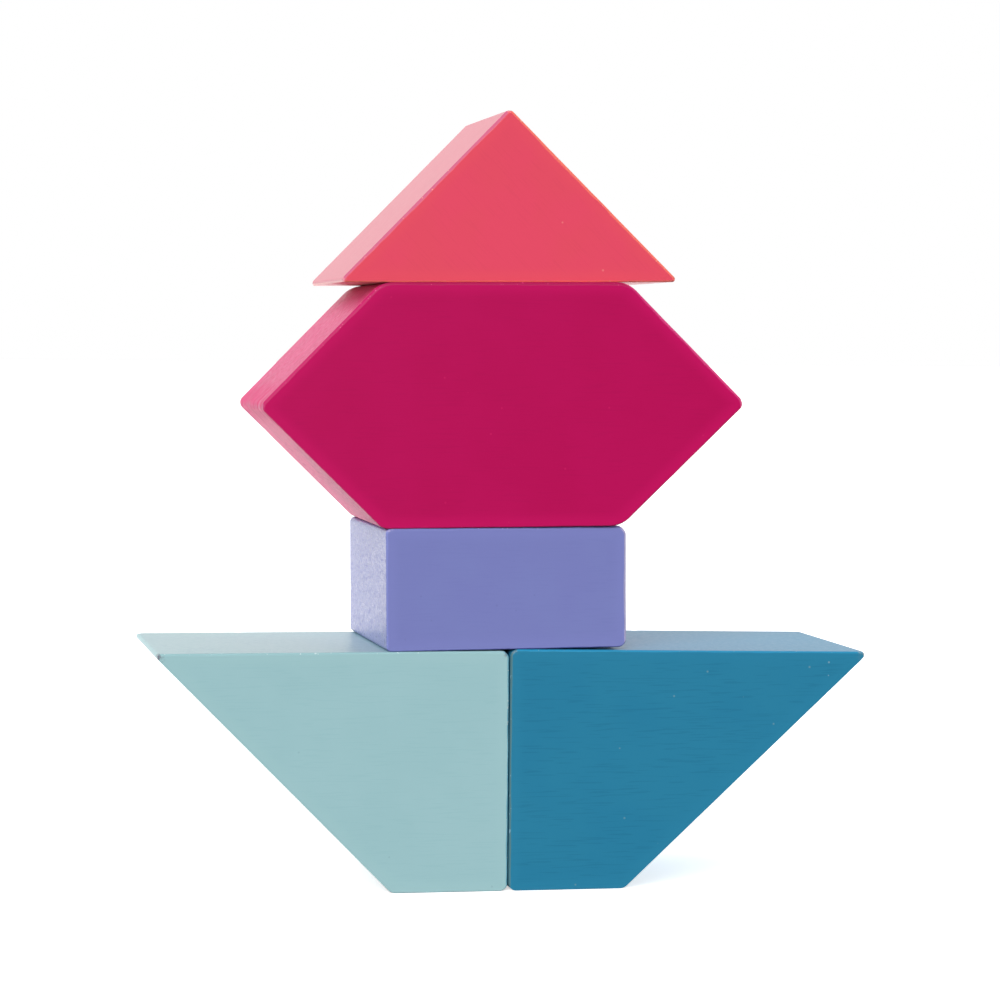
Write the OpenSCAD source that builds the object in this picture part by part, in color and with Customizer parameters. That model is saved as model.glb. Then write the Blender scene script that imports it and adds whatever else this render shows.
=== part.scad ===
// A set of five solid wooden blocks with painted faces, stacked by hand.
// Two slanted base blocks stand side by side, and carry a slab, a long hexagon and a triangle.
// Each block is a straight prism: its outline stands in the XZ plane and its depth runs along Y.
// The origin is the middle of the stack's footprint, on the surface that it stands on.
// All sizes are in millimetres, and all angles in degrees.

/* [All blocks] */
// Depth of every block, from its front face to its back face
block_depth = 40; // [30:1:50]
// Width of the bevel sanded along the face edges of the base blocks and the triangle
fine_bevel = 0.35; // [0.2:0.05:0.4]
// Width of the bevel sanded along the face edges of the slab and the hexagon
wide_bevel = 0.6; // [0.2:0.05:0.65]

/* [Base blocks] */
// Height of the pale aqua block
base_height = 39.5; // [32:0.5:48]
// How much taller the deep teal block is, beside the seam
teal_rise = 0.27; // [0.05:0.01:0.6]
// How far the top of the deep teal block falls from there to its tip
teal_fall = 0.9; // [0:0.1:1.5]
// Width of the pale aqua block's foot
aqua_foot = 19.3; // [15:0.1:24]
// Width of the pale aqua block's top
aqua_top = 58.4; // [50:0.1:66]
// Width of the deep teal block's foot
teal_foot = 19.4; // [15:0.1:24]
// Width of the deep teal block's top
teal_top = 61.1; // [50:0.1:66]
// Radius of the sharp outer tips of the base blocks
base_tip_radius = 0.5; // [0.5:0.1:1.5]
// Radius of the blunt outer corner of each foot
heel_radius = 1.8; // [0.8:0.1:4]
// Radius of the square corners beside the seam
seam_corner_radius = 1.3; // [0.8:0.1:3]
// Gap between the two base blocks
seam_gap = 0.2; // [0.1:0.1:1]

/* [Slab] */
// Width of the slab
slab_width = 40; // [34:0.5:46]
// Height of the slab
slab_height = 20; // [14:0.5:26]
// Radius of the slab's two right corners
slab_right_radius = 1.5; // [0.8:0.1:4]
// Radius of the slab's two left corners
slab_left_radius = 0.8; // [0.8:0.1:4]

/* [Hexagon] */
// Width of the hexagon from point to point
hexagon_width = 80; // [70:0.5:90]
// Width of the hexagon's flat top and bottom
hexagon_flat = 40; // [34:0.5:46]
// Height of the hexagon
hexagon_height = 40; // [32:0.5:48]
// Radius of the hexagon's two side points
hexagon_point_radius = 1.3; // [0.8:0.1:3]
// Radius of three of the hexagon's blunt corners
hexagon_shoulder_radius = 4.7; // [1:0.1:8]
// Radius of its lower left corner, which was sanded less
hexagon_heel_radius = 2; // [1:0.1:8]
// How far the saw strayed to the right at the hexagon's upper right corner
hexagon_top_stray = 0.7; // [-1:0.1:1]
// How far the saw strayed to the right at its right point
hexagon_point_stray = 0.5; // [-1:0.1:1]
// How far the saw strayed to the right at its lower right corner
hexagon_bottom_stray = -0.5; // [-1:0.1:1]

/* [Triangle] */
// Length of the triangle's two equal sides
triangle_side = 40; // [32:0.5:48]
// Angle between the two equal sides
triangle_apex_angle = 90; // [80:1:100]
// Radius of the triangle's apex
triangle_apex_radius = 0.9; // [0.7:0.1:2]
// Radius of the triangle's two toes
triangle_toe_radius = 0.5; // [0.5:0.1:1.5]

/* [Stacking] */
// Gap that the unevenness of the paint leaves under each stacked block
stacking_gap = 0.01; // [0.01:0.01:0.1]
// How far the slab lies to the right of the seam
slab_right = -0.5; // [-3:0.1:3]
// How far the slab lies behind the base blocks
slab_back = 0.3; // [-3:0.1:3]
// Slab's turn about the vertical, anticlockwise seen from above
slab_turn = 0.3; // [-2:0.1:2]
// How far the hexagon lies to the right of the seam
hexagon_right = -0.5; // [-3:0.1:3]
// How far the hexagon lies behind the base blocks
hexagon_back = 0; // [-3:0.1:3]
// Hexagon's turn about the vertical
hexagon_turn = -1.1; // [-2:0.1:2]
// How far the triangle lies to the right of the seam
triangle_right = 0.5; // [-3:0.1:3]
// How far the triangle lies behind the base blocks
triangle_back = 0.6; // [-3:0.1:3]
// Triangle's turn about the vertical
triangle_turn = -0.4; // [-2:0.1:2]

/* [Hidden] */
$fn = 64;

// The seam lies a little off the middle, because one base block is wider than the other.
seam_x = (aqua_top - teal_top) / 2;

// The slab rests on the teal block's corner beside the seam, and with its own left edge on the lower
// aqua block. So it leans a little to the left, and the hexagon and the triangle lean with it.
support_right = seam_gap / 2 + seam_corner_radius;
support_height = base_height + teal_rise - teal_fall * seam_corner_radius / teal_top;
slab_edge_left = slab_width / 2 - slab_left_radius - slab_right;
stack_lean = atan((support_height - base_height) / (support_right + slab_edge_left));
stack_foot = support_height + stacking_gap - support_right * tan(stack_lean);
hexagon_up = slab_height + stacking_gap;
triangle_up = hexagon_up + hexagon_height + stacking_gap;
triangle_half_base = triangle_side * sin(triangle_apex_angle / 2);
triangle_height = triangle_side * cos(triangle_apex_angle / 2);

// How far a round corner stands proud of its sides, so that it meets each one in a clean line
corner_proud = 0.002;
// How far each cut runs past the wood
overrun = 1;
// How far the bevel of a round corner runs past the face
bevel_run_on = 0.05;

// An outline is a list of corners, anticlockwise seen from the front, each [x, z, corner radius].
function point(corner) = [corner[0], corner[1]];
function following(outline, i) = outline[(i + 1) % len(outline)];
function preceding(outline, i) = outline[(i + len(outline) - 1) % len(outline)];
function heading(from, to) = (point(to) - point(from)) / norm(point(to) - point(from));
function outward(direction) = [direction[1], -direction[0]];
function bearing(vector) = atan2(vector[1], vector[0]);

// Directions of the sides that meet at corner i, and the angle that the outline turns by there
function side_in(outline, i) = heading(preceding(outline, i), outline[i]);
function side_out(outline, i) = heading(outline[i], following(outline, i));
function turn(outline, i) = acos(side_in(outline, i) * side_out(outline, i));

// Centre of the round at corner i: it lies the same distance in from both sides.
function centre(outline, i) = let (
    inset = outline[i][2] - corner_proud,
    along = inset * tan(turn(outline, i) / 2)
) point(outline[i]) - side_in(outline, i) * along - outward(side_in(outline, i)) * inset;

// A disc as deep as the blocks, with both rims bevelled. Each bevel runs on a little past the
// face, down to a neck that stands out of the wood, so that no two cuts share a face.
module bevelled_disc(radius, bevel) {
    neck = radius - bevel - bevel_run_on;
    rotate_extrude() polygon([
        [0, -2 * overrun],
        [neck, -2 * overrun],
        [neck, -bevel_run_on],
        [radius, bevel],
        [radius, block_depth - bevel],
        [neck, block_depth + bevel_run_on],
        [neck, block_depth + 2 * overrun],
        [0, block_depth + 2 * overrun],
    ]);
}

// What sanding takes off corner i: the wedge between its two sides, outside a bevelled disc
module corner_waste(outline, i, bevel) {
    radius = outline[i][2];
    reach = radius + overrun;
    corner_turn = turn(outline, i);
    translate(centre(outline, i)) rotate([0, 0, bearing(outward(side_in(outline, i)))]) difference() {
        translate([0, 0, -overrun]) linear_extrude(height = block_depth + 2 * overrun) polygon([
            [0, 0],
            [reach, 0],
            [reach, reach * tan(corner_turn / 2)],
            [reach * cos(corner_turn), reach * sin(corner_turn)],
        ]);
        bevelled_disc(radius, bevel);
    }
}

// What the bevels take off side i, along the front face and the back face
module side_waste(outline, i, bevel) {
    direction = side_out(outline, i);
    length = norm(point(following(outline, i)) - point(outline[i]));
    translate(point(following(outline, i)) + direction * overrun)
        rotate([90, 0, bearing(outward(direction))])
            linear_extrude(height = length + 2 * overrun) {
                bevel_waste(bevel);
                translate([0, block_depth]) mirror([0, 1]) bevel_waste(bevel);
            }
}

// Section of one bevel's waste: x runs out of the side, and y in from the face.
module bevel_waste(bevel) {
    polygon([
        [-bevel - overrun, -overrun],
        [overrun, -overrun],
        [overrun, bevel + overrun],
    ]);
}

// A block is sawn as a sharp prism, then its corners are rounded and its edges bevelled.
module block(outline, bevel) {
    translate([0, block_depth / 2, 0]) rotate([90, 0, 0]) difference() {
        linear_extrude(height = block_depth) polygon([for (corner = outline) point(corner)]);
        for (i = [0:len(outline) - 1]) {
            corner_waste(outline, i, bevel);
            side_waste(outline, i, bevel);
        }
    }
}

// Puts a base block beside the seam.
module standing(right) {
    translate([seam_x + right, 0, 0]) children();
}

// Puts a block on the leaning stack: right of the seam, behind the middle, up the stack, and turned
module stacked(right, back, up, turned) {
    translate([seam_x, 0, stack_foot])
        rotate([0, -stack_lean, 0])
            translate([right, back, up])
                rotate([0, 0, turned])
                    children();
}

module aqua_base_block() {
    color("#9dc4c8") standing(-seam_gap / 2) block([
        [-aqua_foot, 0, heel_radius],
        [0, 0, seam_corner_radius],
        [0, base_height, seam_corner_radius],
        [-aqua_top, base_height, base_tip_radius],
    ], fine_bevel);
}

module teal_base_block() {
    color("#267ea2") standing(seam_gap / 2) block([
        [0, 0, seam_corner_radius],
        [teal_foot, 0, heel_radius],
        [teal_top, base_height + teal_rise - teal_fall, base_tip_radius],
        [0, base_height + teal_rise, seam_corner_radius],
    ], fine_bevel);
}

module periwinkle_slab() {
    color("#7a7fbf") stacked(slab_right, slab_back, 0, slab_turn) block([
        [-slab_width / 2, 0, slab_left_radius],
        [slab_width / 2, 0, slab_right_radius],
        [slab_width / 2, slab_height, slab_right_radius],
        [-slab_width / 2, slab_height, slab_left_radius],
    ], wide_bevel);
}

module magenta_hexagon() {
    color("#b50e52") stacked(hexagon_right, hexagon_back, hexagon_up, hexagon_turn) block([
        [-hexagon_flat / 2, 0, hexagon_heel_radius],
        [hexagon_flat / 2 + hexagon_bottom_stray, 0, hexagon_shoulder_radius],
        [hexagon_width / 2 + hexagon_point_stray, hexagon_height / 2, hexagon_point_radius],
        [hexagon_flat / 2 + hexagon_top_stray, hexagon_height, hexagon_shoulder_radius],
        [-hexagon_flat / 2, hexagon_height, hexagon_shoulder_radius],
        [-hexagon_width / 2, hexagon_height / 2, hexagon_point_radius],
    ], wide_bevel);
}

module coral_triangle() {
    color("#e64a63") stacked(triangle_right, triangle_back, triangle_up, triangle_turn) block([
        [-triangle_half_base, 0, triangle_toe_radius],
        [triangle_half_base, 0, triangle_toe_radius],
        [0, triangle_height, triangle_apex_radius],
    ], fine_bevel);
}

aqua_base_block();
teal_base_block();
periwinkle_slab();
magenta_hexagon();
coral_triangle();
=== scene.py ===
# %% [markdown]
# # A stack of painted wooden blocks
#
# Five solid blocks of beech, each sprayed in one colour of semi-matt paint, are stacked by hand. The
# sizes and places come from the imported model, which is the frame of this scene. This lesson gives
# each block a finer mesh, with softened edges and small dents, and a paint that shows the wood below.

# %% Tools
import math
import random

import bpy
import numpy as np
from mathutils import Matrix, Vector, noise


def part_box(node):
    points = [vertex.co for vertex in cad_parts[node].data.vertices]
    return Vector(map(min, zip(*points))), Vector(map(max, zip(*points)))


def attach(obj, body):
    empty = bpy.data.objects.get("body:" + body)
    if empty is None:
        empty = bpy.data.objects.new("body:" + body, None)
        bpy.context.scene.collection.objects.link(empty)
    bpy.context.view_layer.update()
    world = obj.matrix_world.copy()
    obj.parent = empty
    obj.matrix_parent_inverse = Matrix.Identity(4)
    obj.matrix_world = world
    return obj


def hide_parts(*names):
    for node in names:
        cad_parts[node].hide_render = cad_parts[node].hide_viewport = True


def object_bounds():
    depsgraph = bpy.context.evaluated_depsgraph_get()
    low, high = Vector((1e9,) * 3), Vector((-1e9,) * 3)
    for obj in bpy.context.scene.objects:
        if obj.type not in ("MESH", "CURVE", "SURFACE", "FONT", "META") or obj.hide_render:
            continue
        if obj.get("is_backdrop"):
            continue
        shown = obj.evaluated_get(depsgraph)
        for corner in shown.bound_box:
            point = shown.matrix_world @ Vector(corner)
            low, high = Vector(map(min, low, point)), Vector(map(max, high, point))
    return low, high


# %% [markdown]
# ## The frame
#
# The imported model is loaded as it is, and nothing in it moves. Its box is kept, so that the dressed
# model can be compared with it at the end.

# %% Load the frame
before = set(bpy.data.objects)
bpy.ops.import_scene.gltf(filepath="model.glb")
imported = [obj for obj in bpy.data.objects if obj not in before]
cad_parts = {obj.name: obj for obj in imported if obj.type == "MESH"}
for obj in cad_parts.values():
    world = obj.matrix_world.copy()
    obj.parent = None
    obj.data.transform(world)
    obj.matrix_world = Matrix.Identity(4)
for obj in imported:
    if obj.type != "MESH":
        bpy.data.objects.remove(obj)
cad_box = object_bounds()
MM = 0.001
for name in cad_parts:
    low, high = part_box(name)
    print(name, "box in mm", [round(c / MM, 2) for c in (*low, *high)])

# %% [markdown]
# ## Sizes of the blocks
#
# A maker of block sets cuts everything in steps of one module, half the edge of the set's cube. Here
# the module is 20 mm, and every block is two modules deep. The base blocks were sawn a little under
# size, and the saw strayed at the top of the teal block and at the hexagon's right end. The depth is
# a hundredth of a millimetre under 40, so that the finer edges here stay inside the solids.
#
# An outline lists its corners anticlockwise, seen from the front, each with the radius that sanding
# gave it: small where two sides meet in a sharp tip, large on the hexagon's blunt shoulders.

# %% Sizes, in millimetres
BLOCK_DEPTH = 39.99
AQUA_HEIGHT = 39.5
AQUA_FOOT = 19.3
AQUA_TOP = 58.4
TEAL_FOOT = 19.4
TEAL_TOP = 61.1
TEAL_RISE = 0.27
TEAL_FALL = 0.9
SEAM_GAP = 0.2
SLAB_WIDTH = 40
SLAB_HEIGHT = 20
HEXAGON_WIDTH = 80
HEXAGON_FLAT = 40
HEXAGON_HEIGHT = 40
TOP_STRAY = 0.7
POINT_STRAY = 0.5
BOTTOM_STRAY = -0.5
TRIANGLE_SIDE = 40
STACKING_GAP = 0.01
SEAM_X = (AQUA_TOP - TEAL_TOP) / 2
TRIANGLE_HALF = TRIANGLE_SIDE * math.sin(math.radians(45))
print("the triangle's long side is", round(2 * TRIANGLE_HALF, 1), "mm")

# %% Outlines: each corner is (x, z, radius)
TIP_RADIUS = 0.5
HEEL_RADIUS = 1.8
SEAM_RADIUS = 1.3
SLAB_LEFT_RADIUS = 0.8
SLAB_RIGHT_RADIUS = 1.5
POINT_RADIUS = 1.3
SHOULDER_RADIUS = 4.7
HEXAGON_HEEL_RADIUS = 2
APEX_RADIUS = 0.9

AQUA_OUTLINE = [
    (-AQUA_FOOT, 0, HEEL_RADIUS),
    (0, 0, SEAM_RADIUS),
    (0, AQUA_HEIGHT, SEAM_RADIUS),
    (-AQUA_TOP, AQUA_HEIGHT, TIP_RADIUS),
]
TEAL_OUTLINE = [
    (0, 0, SEAM_RADIUS),
    (TEAL_FOOT, 0, HEEL_RADIUS),
    (TEAL_TOP, AQUA_HEIGHT + TEAL_RISE - TEAL_FALL, TIP_RADIUS),
    (0, AQUA_HEIGHT + TEAL_RISE, SEAM_RADIUS),
]
SLAB_OUTLINE = [
    (-SLAB_WIDTH / 2, 0, SLAB_LEFT_RADIUS),
    (SLAB_WIDTH / 2, 0, SLAB_RIGHT_RADIUS),
    (SLAB_WIDTH / 2, SLAB_HEIGHT, SLAB_RIGHT_RADIUS),
    (-SLAB_WIDTH / 2, SLAB_HEIGHT, SLAB_LEFT_RADIUS),
]
HEXAGON_OUTLINE = [
    (-HEXAGON_FLAT / 2, 0, HEXAGON_HEEL_RADIUS),
    (HEXAGON_FLAT / 2 + BOTTOM_STRAY, 0, SHOULDER_RADIUS),
    (HEXAGON_WIDTH / 2 + POINT_STRAY, HEXAGON_HEIGHT / 2, POINT_RADIUS),
    (HEXAGON_FLAT / 2 + TOP_STRAY, HEXAGON_HEIGHT, SHOULDER_RADIUS),
    (-HEXAGON_FLAT / 2, HEXAGON_HEIGHT, SHOULDER_RADIUS),
    (-HEXAGON_WIDTH / 2, HEXAGON_HEIGHT / 2, POINT_RADIUS),
]
TRIANGLE_OUTLINE = [
    (-TRIANGLE_HALF, 0, TIP_RADIUS),
    (TRIANGLE_HALF, 0, TIP_RADIUS),
    (0, TRIANGLE_HALF, APEX_RADIUS),
]
print("corners of the hexagon:", HEXAGON_OUTLINE)

# %% [markdown]
# ## The lean of the stack
#
# The teal block is a quarter of a millimetre taller than the aqua one at the seam. The slab rests on
# its corner there, and with its own left edge on the aqua block, so it leans to the left by two
# thirds of a degree. The hexagon and the triangle lean with it.

# %% Places on the stack
SUPPORT_RIGHT = SEAM_GAP / 2 + SEAM_RADIUS
SUPPORT_HEIGHT = AQUA_HEIGHT + TEAL_RISE - TEAL_FALL * SEAM_RADIUS / TEAL_TOP
SLAB_RIGHT = -0.5
SLAB_EDGE_LEFT = SLAB_WIDTH / 2 - SLAB_LEFT_RADIUS - SLAB_RIGHT
LEAN = math.atan((SUPPORT_HEIGHT - AQUA_HEIGHT) / (SUPPORT_RIGHT + SLAB_EDGE_LEFT))
STACK_FOOT = SUPPORT_HEIGHT + STACKING_GAP - SUPPORT_RIGHT * math.tan(LEAN)
HEXAGON_UP = SLAB_HEIGHT + STACKING_GAP
TRIANGLE_UP = HEXAGON_UP + HEXAGON_HEIGHT + STACKING_GAP


def standing(right):
    """Where a base block stands, in millimetres."""
    return Matrix.Translation((SEAM_X + right, 0, 0))


def stacked(right, back, up, turned):
    """Where a block lies on the leaning stack: millimetres from the seam, and its turn in degrees."""
    return (Matrix.Translation((SEAM_X, 0, STACK_FOOT)) @ Matrix.Rotation(-LEAN, 4, "Y")
            @ Matrix.Translation((right, back, up)) @ Matrix.Rotation(math.radians(turned), 4, "Z"))


print("the stack leans by", round(math.degrees(LEAN), 2), "degrees")

# %% [markdown]
# ## Walking round an outline
#
# Blender's Bevel modifier could round a plain prism, but each corner here has its own radius and
# the edges wander, as hand sanding leaves them. So the outline is walked in small steps. Each
# station keeps its place, the way out of the wood there, and the radius of the nearest corner.

# %% Stations round the outline
STEP = 0.55
ARC_STEP = math.radians(9)
FEWEST_ARC_STEPS = 4


def stations_round(outline):
    """Rows of x, z, outward x, outward z and corner radius, anticlockwise seen from the front."""
    corners = [Vector((x, z)) for x, z, _ in outline]
    next_corners = corners[1:] + corners[:1]
    headings = [(ahead - corner).normalized() for corner, ahead in zip(corners, next_corners)]
    arcs = []
    for i, corner in enumerate(corners):
        radius = outline[i][2]
        before = headings[i - 1]
        turn = before.angle(headings[i])
        out = Vector((before.y, -before.x))
        centre = corner - before * radius * math.tan(turn / 2) - out * radius
        first = math.atan2(out.y, out.x)
        count = max(FEWEST_ARC_STEPS, math.ceil(turn / ARC_STEP))
        angles = [first + turn * k / count for k in range(count + 1)]
        arcs.append([(centre.x + radius * math.cos(a), centre.y + radius * math.sin(a),
                      math.cos(a), math.sin(a), radius) for a in angles])
    stations = []
    for i, arc in enumerate(arcs):
        following = arcs[(i + 1) % len(arcs)][0]
        stations += arc
        start = np.array(arc[-1])
        end = np.array(following)
        count = math.ceil(math.dist(start[:2], end[:2]) / STEP)
        stations += [tuple(start + (end - start) * k / count) for k in range(1, count)]
    return np.array(stations)


print("stations round the hexagon:", len(stations_round(HEXAGON_OUTLINE)))

# %% [markdown]
# ## The shape of an arris
#
# Where a side meets the front or back face, the maker runs a sanding block along the edge. That
# leaves an arris: a narrow slanted band, a little rounded where it meets the faces, and wider in
# some places than in others. A superellipse with a power between 1, a flat chamfer, and 2, a quarter
# circle, gives that section. The band never grows past the corner radius, so sharp tips stay clean.
# It is fine on the base blocks, grows along the slab from left to right, and is half as wide on
# every edge that faces down.

# %% Arris section, and its mean width at the left end and the right end of each block
AQUA_ARRIS = (0.26, 0.3)
TEAL_ARRIS = (0.3, 0.26)
SLAB_ARRIS = (0.28, 0.45)
HEXAGON_ARRIS = (0.42, 0.5)
TRIANGLE_ARRIS = (0.45, 0.5)
LOWER_ARRIS = 0.5
FACING_DOWN = -0.6
WIDEST_OF_RADIUS = 0.8
ARRIS_WANDER = 0.16
ARRIS_POWER = 1.35
ARRIS_PARTS = 6
WANDER_LENGTH = 5.0
FINE_WANDER_LENGTH = 1.3
FINE_SEED = 50


def arris_section():
    """Pairs from the side to the face: share of the width in from the side, and in from the face."""
    bend = 2 / ARRIS_POWER
    angles = [math.pi / 2 * k / ARRIS_PARTS for k in range(ARRIS_PARTS + 1)]
    return [(1 - math.cos(a) ** bend, 1 - math.sin(a) ** bend) for a in angles]


def arris_widths(stations, mean_widths, seed):
    """Width of the arris at each station, wandering as hand sanding does."""
    widths = []
    ends = (stations[:, 0].min(), stations[:, 0].max())
    for x, z, _, upward, radius in stations:
        slow = noise.noise(Vector((x, z, seed)) / WANDER_LENGTH)
        quick = noise.noise(Vector((x, z, seed + FINE_SEED)) / FINE_WANDER_LENGTH)
        width = np.interp(x, ends, mean_widths) * np.interp(upward, (FACING_DOWN, 0), (LOWER_ARRIS, 1))
        widths.append(min(width * (1 + ARRIS_WANDER * (2 * slow + quick)), WIDEST_OF_RADIUS * radius))
    return np.array(widths)


slab_widths = arris_widths(stations_round(SLAB_OUTLINE), SLAB_ARRIS, 0)
print("the slab's arris is", slab_widths.min().round(2), "to", slab_widths.max().round(2), "mm wide")


# %% [markdown]
# ## Weaving the mesh
#
# The skin of a block is a stack of rings, from the middle of the front face, over the arris, along
# the sides and round to the middle of the back face. Rings crowd together near an arris, where the
# light changes fast, and spread out on the flats. A last loop close beside each arris keeps the smooth
# shading of the arris from bleeding over the sides, and the inner rings of the two faces are shaded
# flat. Quads join each ring to the next one.

# %% Rings of one block
BACK_SEED = 7
EDGE_LOOP = 0.08
FACE_SCALES = (0.35, 0.6, 0.78, 0.89, 0.95, 0.98, 1.0)
SIDE_SHARES = (0.0, 0.012, 0.035, 0.08, 0.16, 0.3, 0.5, 0.7, 0.84, 0.92, 0.965, 0.988, 1.0)


def block_rings(outline, mean_widths, seed):
    """All ring points of a block, as an array of rings by stations by x, y and z."""
    stations = stations_round(outline)
    edge = stations[:, :2]
    out = stations[:, 2:4]
    middle = edge.mean(axis=0)
    rings = []

    def add_ring(xz, y):
        rings.append(np.column_stack([xz[:, 0], np.broadcast_to(y, len(xz)), xz[:, 1]]))

    front = arris_widths(stations, mean_widths, seed)[:, None]
    back = arris_widths(stations, mean_widths, seed + BACK_SEED)[:, None]
    for scale in FACE_SCALES:
        add_ring(middle + (edge - (front + EDGE_LOOP) * out - middle) * scale, 0)
    for inward, deep in reversed(arris_section()):
        add_ring(edge - front * inward * out, (front * deep)[:, 0])
    side_depth = BLOCK_DEPTH - front - back - 2 * EDGE_LOOP
    for share in SIDE_SHARES:
        add_ring(edge, (front + EDGE_LOOP + side_depth * share)[:, 0])
    for inward, deep in arris_section():
        add_ring(edge - back * inward * out, BLOCK_DEPTH - (back * deep)[:, 0])
    for scale in reversed(FACE_SCALES):
        add_ring(middle + (edge - (back + EDGE_LOOP) * out - middle) * scale, BLOCK_DEPTH)
    points = np.array(rings)
    points[:, :, 1] -= BLOCK_DEPTH / 2
    return points


def ring_faces(ring_count, station_count):
    """Quads between neighbouring rings, and one many-sided face at each end."""
    def corner(ring, station):
        return ring * station_count + station % station_count

    faces = [tuple(range(station_count))]
    for r in range(ring_count - 1):
        for s in range(station_count):
            faces.append((corner(r, s), corner(r + 1, s), corner(r + 1, s + 1), corner(r, s + 1)))
    faces.append(tuple(corner(ring_count - 1, s) for s in reversed(range(station_count))))
    return faces


def smooth_rings(ring_count, station_count):
    """Says of each face whether it is shaded smooth: only the flats of the front and back are not."""
    flat = (len(FACE_SCALES) - 2) * station_count
    rounded = (ring_count - 1) * station_count - 2 * flat
    return [False] * (1 + flat) + [True] * rounded + [False] * (flat + 1)


print("rings on each block:", 2 * len(FACE_SCALES) + 2 * (ARRIS_PARTS + 1) + len(SIDE_SHARES))

# %% [markdown]
# ## How far a point is from an arris
#
# Paint is thin on an arris and is the first thing to wear there, so the paint needs to know where
# the edges are. The distance from a point of the skin to the nearest edge is its distance to the
# second nearest of the block's flat sides. It is kept on the mesh as an attribute, in millimetres,
# and so is how far across the block a point is from its middle line.

# %% Distance to the nearest arris
def arris_distance(points, outline):
    """Distance in millimetres from each point to the second nearest plane of the block."""
    distances = [points[:, 1] + BLOCK_DEPTH / 2, BLOCK_DEPTH / 2 - points[:, 1]]
    for i, (x, z, _) in enumerate(outline):
        next_x, next_z, _ = outline[(i + 1) % len(outline)]
        length = math.hypot(next_x - x, next_z - z)
        out_x, out_z = (next_z - z) / length, (x - next_x) / length
        distances.append((x - points[:, 0]) * out_x + (z - points[:, 2]) * out_z)
    return np.sort(np.abs(np.array(distances)), axis=0)[1]


slab_middle = np.array([[0, -BLOCK_DEPTH / 2, SLAB_HEIGHT / 2]])
print("middle of the slab's front to its arris:", arris_distance(slab_middle, SLAB_OUTLINE)[0], "mm")

# %% [markdown]
# ## Knocks and dents
#
# Blocks are knocked together and dropped. Each knock presses a small hollow into an edge or a tip,
# towards the middle of the block. Some are placed one by one where the stack shows them, and more are
# scattered along the back edges, with a fixed seed.

# %% Dents, each as x, y, z, radius and depth in millimetres
DENT_COUNT = 8
DENT_RADII = (0.35, 0.8)
DENT_DEPTHS = (0.12, 0.25)
DENT_INSET = 0.2


def press_dents(points, dents):
    """Presses round dents into the points, and returns how deep in a dent each point is, 0 to 1."""
    worn = np.zeros(len(points))
    centre = points.mean(axis=0)
    for x, y, z, radius, depth in dents:
        spot = np.array((x, y, z))
        inward = (centre - spot) / np.linalg.norm(centre - spot)
        away = np.linalg.norm(points - spot, axis=1)
        share = np.clip(1 - (away / radius) ** 2, 0, 1)
        points += inward * (share ** 2 * depth)[:, None]
        worn = np.maximum(worn, share)
    return worn


def scattered_dents(outline, seed):
    """Small dents at random stations along the back arris, their depth a share of their radius."""
    pick = random.Random(seed)
    stations = stations_round(outline)
    dents = []
    for _ in range(DENT_COUNT):
        x, z = pick.choice(stations)[:2]
        radius = pick.uniform(*DENT_RADII)
        dents.append((x, BLOCK_DEPTH / 2 - DENT_INSET, z, radius, radius * pick.uniform(*DENT_DEPTHS)))
    return dents


print("scattered dents on each block:", DENT_COUNT, "of radius", DENT_RADII, "mm")

# %% [markdown]
# ## One block
#
# The points are woven, dented, turned and set down on the stack. The new piece stands for the plain
# block of the frame, takes its place and rides on the same body.

# %% Build a block
def build_block(name, outline, mean_widths, place, body, dents, seed):
    """Weaves a block, sets it down at its place, and ties it to its body."""
    rings = block_rings(outline, mean_widths, seed)
    points = rings.reshape(-1, 3)
    edge_distance = arris_distance(points, outline)
    across = np.abs(points[:, 0])
    worn = press_dents(points, dents + scattered_dents(outline, seed))
    points = (points @ np.array(place.to_3x3()).T + np.array(place.translation)) * MM
    mesh = bpy.data.meshes.new(name + "_skin")
    mesh.from_pydata(points.tolist(), [], ring_faces(*rings.shape[:2]))
    mesh.polygons.foreach_set("use_smooth", smooth_rings(*rings.shape[:2]))
    for label, values in (("from_arris", edge_distance), ("across", across), ("worn", worn)):
        attribute = mesh.attributes.new(label, "FLOAT", "POINT")
        attribute.data.foreach_set("value", values.astype(np.float32))
    piece = bpy.data.objects.new(name + "_painted", mesh)
    bpy.context.scene.collection.objects.link(piece)
    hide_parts(name)
    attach(piece, body)
    low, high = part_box(name)
    proud = max(max(low - Vector(points.min(axis=0))), max(Vector(points.max(axis=0)) - high))
    print(name, "faces", len(mesh.polygons), "proud of its solid by", round(proud / MM, 3), "mm")
    return piece


# %% The five blocks
AQUA_KNOCKS = [(-57.7, -19.7, 39.0, 1.2, 0.2), (-0.4, -19.7, 39.0, 0.6, 0.06)]
TEAL_KNOCKS = [(60.4, -19.7, 38.4, 1.3, 0.2), (0.6, -19.8, 39.5, 0.7, 0.06)]
SLAB_KNOCKS = [(-19.4, -19.8, 19.8, 0.6, 0.08), (19.7, -19.7, 19.6, 0.7, 0.08)]
HEXAGON_KNOCKS = [(-39.6, -19.7, 20.0, 0.6, 0.1), (39.8, -19.7, 20.4, 0.5, 0.06)]
TRIANGLE_KNOCKS = [(-27.8, -19.7, 0.4, 0.8, 0.1), (0.0, -19.7, 28.0, 0.6, 0.06)]

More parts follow.
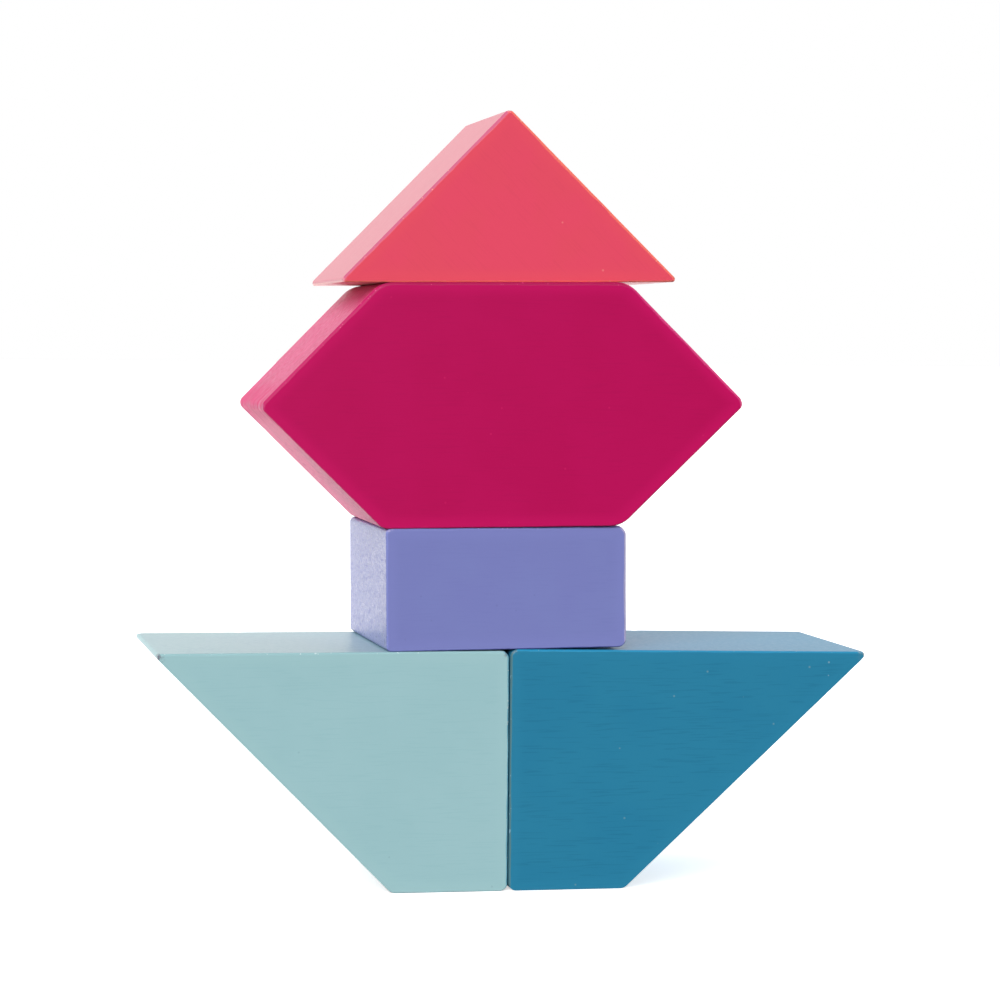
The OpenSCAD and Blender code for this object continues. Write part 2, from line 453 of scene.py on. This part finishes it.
aqua = build_block(
    "aqua_base_block", AQUA_OUTLINE, AQUA_ARRIS, standing(right=-SEAM_GAP / 2),
    "aqua_base", AQUA_KNOCKS, seed=1)
teal = build_block(
    "teal_base_block", TEAL_OUTLINE, TEAL_ARRIS, standing(right=SEAM_GAP / 2),
    "teal_base", TEAL_KNOCKS, seed=2)
slab = build_block(
    "periwinkle_slab", SLAB_OUTLINE, SLAB_ARRIS,
    stacked(right=SLAB_RIGHT, back=0.3, up=0, turned=0.3), "slab", SLAB_KNOCKS, seed=3)
hexagon = build_block(
    "magenta_hexagon", HEXAGON_OUTLINE, HEXAGON_ARRIS,
    stacked(right=-0.5, back=0, up=HEXAGON_UP, turned=-1.1), "hexagon", HEXAGON_KNOCKS, seed=4)
triangle = build_block(
    "coral_triangle", TRIANGLE_OUTLINE, TRIANGLE_ARRIS,
    stacked(right=0.5, back=0.6, up=TRIANGLE_UP, turned=-0.4), "triangle", TRIANGLE_KNOCKS, seed=5)

# %% [markdown]
# ## Colour and nodes
#
# Colours are written as sRGB hex values, as a paint maker would give them, and one function turns
# them to the linear values that shaders use. Another adds a node with its settings and links. A
# socket goes by its name or its number. On a Mix node 0 is the factor, 2 and 3 are the two numbers
# and output 0 their mix, and 6 and 7 are the two colours and output 2 their mix.

# %% Helpers for materials
def linear(hex_colour):
    """Linear RGBA of a hex colour such as 9dc4c8."""
    channels = [int(hex_colour[i:i + 2], 16) / 255 for i in (0, 2, 4)]
    return tuple(c / 12.92 if c <= 0.04045 else ((c + 0.055) / 1.055) ** 2.4 for c in channels) + (1,)


def add_node(tree, kind, sockets=(), **settings):
    """Adds a node, sets its properties, and fills each named socket with a value or a link."""
    node = tree.nodes.new(kind)
    for name, value in settings.items():
        setattr(node, name, value)
    for socket, value in dict(sockets).items():
        if isinstance(value, bpy.types.NodeSocket):
            tree.links.new(value, node.inputs[socket])
        else:
            node.inputs[socket].default_value = value
    return node


print("9dc4c9 is linear", [round(channel, 3) for channel in linear("9dc4c9")[:3]])

# %% [markdown]
# ## Painted beech
#
# The blocks are beech, sawn, sanded and sprayed with a thin water-based paint. The eye sees an even
# semi-matt colour, faint lines where the wood's vessels dent the paint, and the orange peel of the
# spray. The belt of the sander ran along the sides, so fine streaks follow them, even round a corner,
# and it left ring marks where it turned round the hexagon's points. The sides took less paint, which
# dried mottled, shinier in some spots than in others. Their colour is partly that coat and partly
# painted light, set to how bright each block's sides look. The undersides have a colour of their own
# that is painted light from below. Each arris has the thinnest coat of all, with chips in it, and on
# top of that its colour changes with the way it faces: painted highlights on the edges turned to the
# lamps, and painted shade in the seam and at the feet that stand on another block. Paint is a
# dielectric: metallic 0, and an IOR of 1.4 to 1.5. Semi-matt, it has a roughness of 0.3 to 0.5. At a
# low angle it mirrors the white studio, which turns the sides pale.
#
# Every pattern could be an image, but a noise stretched to a real size in millimetres has no seams
# and suits a block of any size. Long along the grain and narrow across it, it gives vessel lines. The
# vessels of beech are under 0.1 mm wide, too fine to show, so they are drawn about twice as wide.
# Narrow only along the depth of the block, it gives belt streaks that follow the outline. The middles
# of Voronoi cells give the few dust nibs that dried in the paint.

# %% Patterns in the wood and the paint: kind, size in millimetres along X, Y and Z, and detail
PATTERNS = {
    "vessel": ("Noise", (4.5, 0.24, 0.24), 0.0),
    "fibre": ("Noise", (1.6, 0.35, 0.35), 2.0),
    "blotch": ("Noise", (9.0, 9.0, 9.0), 2.0),
    "peel": ("Noise", (0.9, 0.9, 0.9), 1.0),
    "belt": ("Noise", (7.0, 0.3, 7.0), 2.0),
    "mottle": ("Noise", (0.7, 0.8, 0.7), 2.0),
    "chip": ("Noise", (0.45, 0.45, 0.45), 1.0),
    "nib": ("Voronoi", (4.0, 4.0, 4.0), 0.0),
    "ring": ("Noise", (20.0, 1.7, 20.0), 1.0),
}
# Each pattern lies this many millimetres further back than the one before, so that none line up.
PATTERN_SHIFT = 37


def surface_values(tree, grain, seed):
    """What the paint can ask of a point: its place, where it faces, its wear and its patterns."""
    coordinates = add_node(tree, "ShaderNodeTexCoord").outputs
    facing = add_node(tree, "ShaderNodeSeparateXYZ", {0: coordinates["Normal"]}).outputs
    value = {
        "place": coordinates["Object"],
        "right": facing["X"],
        "up": facing["Z"],
        "depth": add_node(tree, "ShaderNodeMath", {0: facing["Y"]}, operation="ABSOLUTE").outputs[0],
    }
    for label in ("from_arris", "across", "worn"):
        value[label] = add_node(tree, "ShaderNodeAttribute", attribute_name=label).outputs["Fac"]
    for i, (label, (kind, sizes, detail)) in enumerate(PATTERNS.items()):
        placed = add_node(tree, "ShaderNodeMapping", {
            "Vector": value["place"],
            "Location": (seed * MM, PATTERN_SHIFT * i * MM, 0),
            "Rotation": (0, math.radians(grain), 0),
            "Scale": [size * MM for size in sizes],
        }, vector_type="TEXTURE")
        value[label] = add_node(tree, "ShaderNodeTex" + kind, {
            "Vector": placed.outputs[0], "Scale": 1.0, "Detail": detail}).outputs[0]
    return value


finest = min(min(sizes) for _, sizes, _ in PATTERNS.values())
print(len(PATTERNS), "patterns, the finest of them", finest, "mm")

# %% [markdown]
# ### Masks
#
# A mask says how much of a colour or a gloss shows at a point, from 0 to 1. Each is one value of the
# surface, read between two limits: where a point faces tells a side from a face and an arris, and a
# pattern breaks it up. A mask's share is a number, or another mask that it stays inside.

# %% Masks
def add_masks(tree, value, vessels, belt, mottle, rings):
    """Adds each mask to the values: its source, its two limits, and the most that it shows."""
    for label, source, low, high, share in (
        ("drifting", "blotch", 0.35, 0.65, 0.5),
        ("line", "vessel", 0.6, 0.72, vessels),
        ("near_edge", "from_arris", 2.8, 0.6, 0.7),
        ("side", "depth", 0.995, 0.95, 1.0),
        # Painted light: the sides that face down get a colour of their own, mostly paler, standing in
        # for light from below.
        ("underside_painted_light", "up", -0.3, -0.5, "side"),
        ("streak", "belt", 0.45, 0.7, belt),
        ("side_streak", "depth", 0.5, 0.2, "streak"),
        ("patchy", "blotch", 0.3, 0.7, mottle),
        ("at_point", "across", 35.5, 39.0, rings),
        ("ringed", "ring", 0.46, 0.57, "at_point"),
        ("side_ringed", "depth", 0.5, 0.2, "ringed"),
        ("mottled", "mottle", 0.48, 0.64, "patchy"),
        ("side_mottled", "depth", 0.5, 0.2, "mottled"),
        ("arris", "depth", 0.1, 0.3, "side"),
        # Painted light: the arris takes a colour by the way it faces, a painted highlight on edges
        # turned to the lamps and painted shade where an edge lies in the seam.
        ("left_arris_painted_light", "right", -0.15, -0.4, "arris"),
        ("right_arris_painted_light", "right", 0.15, 0.4, "arris"),
        # Painted light: arrises that face down take their own colour, mostly lighter, as if lit from
        # below.
        ("under_arris_painted_light", "up", -0.15, -0.4, "arris"),
        # Painted shade: the foot of a block that stands on another is dark, a painted contact shadow;
        # on the triangle it is lighter, painted light.
        ("foot_arris_painted_light", "up", -0.72, -0.85, "arris"),
        ("speck", "nib", 0.055, 0.035, 0.7),
        ("chipped", "chip", 0.69, 0.74, "arris"),
        ("bare", "chip", 0.4, 0.6, "worn"),
    ):
        value[label] = add_node(tree, "ShaderNodeMapRange", {
            "Value": value[source], "From Min": low, "From Max": high,
            "To Max": value.get(share, share)}, interpolation_type="SMOOTHSTEP").outputs[0]


# %% [markdown]
# ### Colour, gloss and relief
#
# The colours are laid over each other, the front's paint first and bare wood last. The layers of the
# sides, the undersides and the arrises by the way they face are partly painted light and shade.
# A pit is a round hole, where dust or a bubble was in the paint. It is too small for its depth to
# show, so it is drawn in colour alone. Gloss is even on the faces, mottled on the sides and dull where
# sanding bit through. The relief is a few thousandths of a millimetre high, enough to break up a
# reflection and too little to change an outline.

# %% Colour
def layered_colour(tree, value, coat, pits):
    """The colours of a coat, each where its mask shows it, and then the pits."""
    colour = linear(coat["paint"])
    # Some of these layers are painted light: the side, underside and facing-arris colours stand in
    # part for how light falls.
    for mask, layer in (
        ("drifting", "drift"), ("line", "line"), ("near_edge", "rim"), ("side", "sides"),
        ("underside_painted_light", "underside_painted_light"), ("side_streak", "streak"), ("side_ringed", "ring"),
        ("side_mottled", "mottle"), ("arris", "arris"), ("left_arris_painted_light", "left_arris_painted_light"),
        ("right_arris_painted_light", "right_arris_painted_light"), ("under_arris_painted_light", "under"), ("foot_arris_painted_light", "foot"),
        ("speck", "speck"), ("chipped", "chip"), ("bare", "bare"),
    ):
        if layer in coat:
            colour = add_node(tree, "ShaderNodeMix", {
                0: value[mask], 6: colour, 7: linear(coat[layer])}, data_type="RGBA").outputs[2]
    for place, radius in pits:
        away = add_node(tree, "ShaderNodeVectorMath", {
            0: value["place"], 1: Vector(place) * MM}, operation="DISTANCE").outputs["Value"]
        pitted = add_node(tree, "ShaderNodeMapRange", {
            "Value": away, "From Min": radius * MM, "From Max": radius / 2 * MM}).outputs[0]
        colour = add_node(tree, "ShaderNodeMix", {
            0: pitted, 6: colour, 7: linear(coat["chip"])}, data_type="RGBA").outputs[2]
    return colour


# %% Gloss, as roughness
FACE_ROUGHNESS = 0.3
ARRIS_ROUGHNESS = 0.6
RING_ROUGHNESS = 0.8
DULLING = 0.07
SHINY_SPOT = 0.35
DULL_SPOT = 0.65


def uneven_gloss(tree, value, dullness, mottle):
    """Roughness: even on the faces, about the dullness on the sides, more on rings and arrises."""
    roughness = add_node(tree, "ShaderNodeMapRange", {
        "Value": value["mottle"], "From Min": SHINY_SPOT, "From Max": DULL_SPOT,
        "To Min": dullness - DULLING * mottle, "To Max": dullness + DULLING * mottle}).outputs[0]
    roughness = add_node(tree, "ShaderNodeMix", {
        0: value["side"], 2: FACE_ROUGHNESS, 3: roughness}).outputs[0]
    for mask, dull in (("side_ringed", RING_ROUGHNESS), ("arris", ARRIS_ROUGHNESS)):
        roughness = add_node(tree, "ShaderNodeMix", {0: value[mask], 2: roughness, 3: dull}).outputs[0]
    return roughness


# %% Relief, in millimetres, and the share of it that each pattern has
RELIEF = 0.007
RELIEF_SHARES = (("peel", 0.5), ("fibre", 0.35), ("belt", 0.3), ("vessel", -0.5))
MOTTLE_RELIEF = 0.45


def fine_relief(tree, value, mottle):
    """The bump of the paint and the wood. Vessels are hollows, so their share is negative."""
    height = 0.0
    for label, share in RELIEF_SHARES + (("mottle", MOTTLE_RELIEF * mottle),):
        height = add_node(tree, "ShaderNodeMath", {0: value[label], 1: share, 2: height},
                          operation="MULTIPLY_ADD").outputs[0]
    bump = add_node(tree, "ShaderNodeBump", {"Distance": RELIEF * MM, "Height": height})
    return bump.outputs["Normal"]


# %% Painted wood material
PAINT_IOR = 1.42


def painted_beech(name, coat, grain=0.0, dullness=0.4, vessels=0.12, belt=0.3, mottle=0.4, rings=0.0,
                  pits=(), seed=0.0):
    """Semi-matt paint on beech. Coat names its colours, and dullness is the roughness of the sides."""
    material = bpy.data.materials.new(name)
    material.use_nodes = True
    tree = material.node_tree
    shader = tree.nodes["Principled BSDF"].inputs
    shader["IOR"].default_value = PAINT_IOR
    value = surface_values(tree, grain, seed)
    add_masks(tree, value, vessels, belt, mottle, rings)
    tree.links.new(layered_colour(tree, value, coat, pits), shader["Base Color"])
    tree.links.new(uneven_gloss(tree, value, dullness, mottle), shader["Roughness"])
    tree.links.new(fine_relief(tree, value, mottle), shader["Normal"])
    return material


# %% [markdown]
# ### The five coats
#
# The colours of the faces are what plain light shows of them. Every coat has its own set of other
# colours, rather than a mix of the first with white or with wood. The colours of the sides, the
# undersides and the arrises by the way they face hold painted light and shade as well as paint: they
# are set to how bright those places look, which comes from where the light falls. Ring marks are on
# the hexagon alone, and the teal front has two pits.

# %% Paint colours of each block
AQUA_COAT = dict(
    # The side, underside, facing-arris, under and foot colours are painted light and shade in part,
    # set by how each facing catches the light.
    paint="9dc4c9", drift="99c1c6", line="84b2b8", rim="9fc6ca", sides="9cc3c7", underside_painted_light="b0cccf",
    streak="90b9bf", mottle="90b6c0", arris="94bcc1", left_arris_painted_light="98bfc4", right_arris_painted_light="74b8cc",
    under="b4dce2", foot="98c2c8", speck="8fb4ba", chip="c6dadb", bare="6a6876")
TEAL_COAT = dict(
    paint="287fa1", drift="247b9f", line="1a6788", rim="2981a4", sides="2a88ae", underside_painted_light="2e8eb4",
    streak="2682a8", mottle="267fa8", arris="1e8ab4", left_arris_painted_light="4f7880", right_arris_painted_light="3a7c96",
    under="34a0c8", foot="2688ae", speck="6f9aa6", chip="7fa4b4", bare="6f8c9a")
SLAB_COAT = dict(
    paint="7a81be", drift="787dbc", line="6c71b2", rim="7d83c2", sides="888ec2", underside_painted_light="888ec2",
    streak="7b81ba", mottle="757bbc", arris="747ab8", left_arris_painted_light="7c84c6", right_arris_painted_light="a8a4cc",
    under="6a70b8", foot="3c427e", speck="7278b4", chip="a9abd6", bare="a8a0c8")
HEXAGON_COAT = dict(
    paint="b80054", drift="bc0258", line="a2004c", rim="c6065e", sides="da2878", underside_painted_light="fa2e80",
    streak="bc1a60", mottle="cc1860", arris="a8044e", left_arris_painted_light="c00c60", right_arris_painted_light="d02a74",
    under="d81668", foot="520a30", speck="c81f62", chip="d84c84", bare="c84c80", ring="e01c70")
TRIANGLE_COAT = dict(
    paint="e74a65", drift="e44d60", line="d44058", rim="e94f62", sides="d65c72", underside_painted_light="f4a8a0",
    streak="cc546a", mottle="d0566c", arris="e8605f", left_arris_painted_light="cc5c80", right_arris_painted_light="ee6c5c",
    under="fa8474", foot="fa888c", speck="ee8488", chip="f0a08c", bare="eb98a6")

# %% Pits in the teal front, each with its radius, in millimetres
TEAL_PITS = (((52.75, -20.0, 37.17), 0.2), ((52.7, -20.0, 34.97), 0.14))

# %% Paint the blocks
for piece, slot, finish, coat, settings in (
    (aqua, "aqua_painted_wood", "aqua_paint_on_beech", AQUA_COAT, dict(dullness=0.36, seed=3)),
    (teal, "teal_painted_wood", "teal_paint_on_beech", TEAL_COAT, dict(
        vessels=0.3, dullness=0.4, pits=TEAL_PITS, seed=17)),
    (slab, "periwinkle_painted_wood", "periwinkle_paint_on_beech", SLAB_COAT, dict(
        mottle=1.0, dullness=0.33, seed=29)),
    (hexagon, "magenta_painted_wood", "magenta_paint_on_beech", HEXAGON_COAT, dict(
        belt=0.9, mottle=0.8, rings=0.75, dullness=0.47, seed=41)),
    (triangle, "coral_painted_wood", "coral_paint_on_beech", TRIANGLE_COAT, dict(
        grain=45, dullness=0.33, belt=0.8, mottle=0.15, seed=53)),
):
    piece.data.materials.append(painted_beech(finish, coat, **settings))
    print(piece.name, "is painted with", finish)

# %% [markdown]
# ## The studio
#
# The blocks stand on a pale table. A white backdrop behind them is what the sides mirror at a low
# angle, while the room in front is dimmer, so the front faces keep their deep colour. The world
# gives both: it is white to the camera, and to every other ray it is bright behind and dim in front.
# Gloss mirrors a backdrop a little brighter than the one that lights the paint, so that the sides get
# their pale sheen and the backs stay at a plain level.

# %% World
ROOM_LEVEL = 0.06
BACKDROP_LEVEL = 1.2
BACKDROP_LIGHT = 0.94
ROOM_END = -0.4
BACKDROP_START = 0.5

world = bpy.data.worlds.new("studio")
bpy.context.scene.world = world
world.use_nodes = True
sky = world.node_tree
background = sky.nodes["Background"]
direction = add_node(sky, "ShaderNodeTexCoord").outputs["Generated"]
behind = add_node(sky, "ShaderNodeSeparateXYZ", {0: direction}).outputs["Y"]
ray = add_node(sky, "ShaderNodeLightPath").outputs
backdrop = add_node(sky, "ShaderNodeMix", {
    0: ray["Is Glossy Ray"], 2: BACKDROP_LIGHT, 3: BACKDROP_LEVEL}).outputs[0]
level = add_node(sky, "ShaderNodeMapRange", {
    "Value": behind, "From Min": ROOM_END, "From Max": BACKDROP_START,
    "To Min": ROOM_LEVEL, "To Max": backdrop}, interpolation_type="SMOOTHSTEP").outputs[0]
seen = add_node(sky, "ShaderNodeMix", {0: ray["Is Camera Ray"], 2: level, 3: 1.0}).outputs[0]
sky.links.new(seen, background.inputs["Strength"])
background.inputs["Color"].default_value = linear("ffffff")
print("the backdrop is", BACKDROP_LEVEL, "to gloss and", BACKDROP_LIGHT, "to matt paint")

# %% [markdown]
# The table is a sheet of white acrylic, lit a little from below, as for pictures of goods. Its glow
# reaches the lower slopes. In front of the blocks it is dark, so that their front faces have little
# to mirror, and the camera alone sees it white all over, with the shadow of the blocks on it. As on
# the backdrop, gloss mirrors a little more than what lights the paint.

# %% Floor
FLOOR_SIZE = 30.0
PALE = 0.9
DARK = 0.1
GLOW = 0.6
GLOW_LIGHT = 0.52
DARK_END = -0.03
PALE_START = 0.05
MATT = 0.9

bpy.ops.mesh.primitive_plane_add(size=FLOOR_SIZE)
floor = bpy.context.object
floor.name = "pale_floor"
floor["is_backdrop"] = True
floor_material = bpy.data.materials.new("lit_acrylic")
floor_material.use_nodes = True
acrylic = floor_material.node_tree
sheet = acrylic.nodes["Principled BSDF"]
place = add_node(acrylic, "ShaderNodeSeparateXYZ", {
    0: add_node(acrylic, "ShaderNodeTexCoord").outputs["Object"]}).outputs["Y"]
ray = add_node(acrylic, "ShaderNodeLightPath").outputs
white = add_node(acrylic, "ShaderNodeMapRange", {
    "Value": place, "From Min": DARK_END, "From Max": PALE_START,
    "To Min": ray["Is Camera Ray"]}, interpolation_type="SMOOTHSTEP").outputs[0]
tone = add_node(acrylic, "ShaderNodeMix", {0: white, 2: DARK, 3: PALE}).outputs[0]
from_below = add_node(acrylic, "ShaderNodeMix", {
    0: ray["Is Diffuse Ray"], 2: GLOW, 3: GLOW_LIGHT}).outputs[0]
glow = add_node(acrylic, "ShaderNodeMix", {0: white, 2: 0.0, 3: from_below}).outputs[0]
acrylic.links.new(tone, sheet.inputs["Base Color"])
acrylic.links.new(glow, sheet.inputs["Emission Strength"])
sheet.inputs["Emission Color"].default_value = linear("ffffff")
sheet.inputs["Roughness"].default_value = MATT
sheet.inputs["Specular IOR Level"].default_value = 0.0
floor.data.materials.append(floor_material)
print("the table is", FLOOR_SIZE, "m wide")

# %% [markdown]
# ## The lamps
#
# A big softbox in front and above gives the fronts their plain light, and a weak one fills from the
# right. Those two alone leave the right-hand sides clearly darker than their paint, and the photograph
# does not show these sides. A narrow strip light, square on to them, brings them nearer to the colours
# that are written. It is narrow so that little of it spills on the fronts and the backs.

# %% Lamps
KEY_STRENGTH = 3.3
FILL_STRENGTH = 0.4
SIDE_STRENGTH = 1.0
SOFTBOX_SPREAD = 45
STRIP_SPREAD = 20
for label, strength, spread, towards in (
    ("key_softbox", KEY_STRENGTH, SOFTBOX_SPREAD, (0.4, 0.8, -0.45)),
    ("fill_softbox", FILL_STRENGTH, SOFTBOX_SPREAD, (-0.8, 0.55, -0.25)),
    ("side_strip_light", SIDE_STRENGTH, STRIP_SPREAD, (-1.0, 0.05, -0.1)),
):
    light = bpy.data.lights.new(label, "SUN")
    light.energy = strength
    light.angle = math.radians(spread)
    lamp = bpy.data.objects.new(label, light)
    lamp.rotation_euler = Vector(towards).to_track_quat("-Z", "Y").to_euler()
    bpy.context.scene.collection.objects.link(lamp)
    print(label, "has a strength of", strength)

# %% [markdown]
# ## The camera
#
# The camera's place was worked out from the corners of the blocks in the photograph: a long lens,
# 58 cm from the foot of the stack, a little to its left and a little above its middle.

# %% Camera
CAMERA_PLACE = (-106.16, -563.76, 89.50)
CAMERA_YAW = -10.716
CAMERA_DOWN = 2.613
CAMERA_ROLL = 0.484
CAMERA_LENS = 122.22
SENSOR_WIDTH = 36

camera_data = bpy.data.cameras.new("camera")
camera_data.lens = CAMERA_LENS
camera_data.sensor_width = SENSOR_WIDTH
camera = bpy.data.objects.new("camera", camera_data)
bpy.context.scene.collection.objects.link(camera)
camera.matrix_world = (
    Matrix.Translation(Vector(CAMERA_PLACE) * MM)
    @ Matrix.Rotation(math.radians(CAMERA_YAW), 4, "Z")
    @ Matrix.Rotation(math.radians(90 - CAMERA_DOWN), 4, "X")
    @ Matrix.Rotation(math.radians(CAMERA_ROLL), 4, "Z")
)
bpy.context.scene.camera = camera
bpy.context.scene.view_settings.view_transform = "Standard"
print("the camera is", round(Vector(CAMERA_PLACE).length / 10), "cm from the foot of the stack")

# %% [markdown]
# ## The size of the dressed model
#
# Softened edges only take wood away, so the dressed model has to lie inside the box of the packed
# one.

# %% Sizes of the frame and of the dressed model
visual_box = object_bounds()
for label, box in (("cad", cad_box), ("visual", visual_box)):
    print(label, "box in mm", [[round(c / MM, 2) for c in corner] for corner in box])
